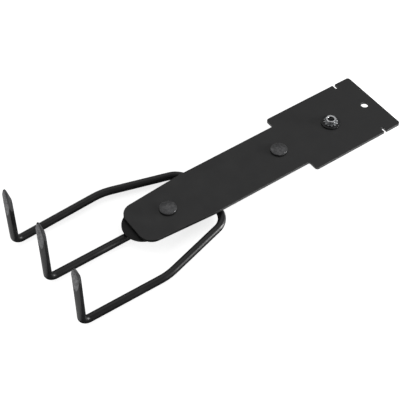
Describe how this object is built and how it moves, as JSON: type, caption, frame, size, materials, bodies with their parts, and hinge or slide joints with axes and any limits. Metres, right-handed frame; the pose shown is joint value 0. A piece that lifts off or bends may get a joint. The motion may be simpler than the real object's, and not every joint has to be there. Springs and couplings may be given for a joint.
{
  "type": "bicycle wall rack",
  "caption": "T-headed steel plate bolted over a backing strip, with bent rod prongs that turn up into ground points.",
  "frame": {"origin": "middle of the rack's footprint, on the floor that the ends of the two carriage bolts touch when the rack lies on its back", "axes": "+X along the plate from the hooks to the T head, +Y across the plate, +Z out of the plate's face, the way the hooks point"},
  "size_m": [0.3995, 0.1288, 0.0849],
  "materials": {
    "powder_coat": "satin",
    "black_hardware": "satin",
    "bright_zinc": "polished"
  },
  "bodies": {
    "root": {"top_plate": "powder_coat", "backing_strip": "powder_coat", "outer_prong_rod": "powder_coat", "centre_prong_rod": "powder_coat", "centre_rod_weld_near": "powder_coat", "centre_rod_weld_far": "powder_coat", "crossbar_weld_front": "powder_coat", "crossbar_weld_rear": "powder_coat", "front_carriage_bolt": "black_hardware", "front_flat_washer": "black_hardware", "front_lock_washer": "black_hardware", "front_hex_nut": "black_hardware", "rear_carriage_bolt": "black_hardware", "rear_flat_washer": "black_hardware", "rear_lock_washer": "black_hardware", "rear_hex_nut": "black_hardware", "head_hex_bolt": "black_hardware", "head_under_washer": "black_hardware", "head_penny_washer": "black_hardware", "head_tooth_washer": "bright_zinc", "head_thin_nut": "bright_zinc"}
  },
  "joints": []
}
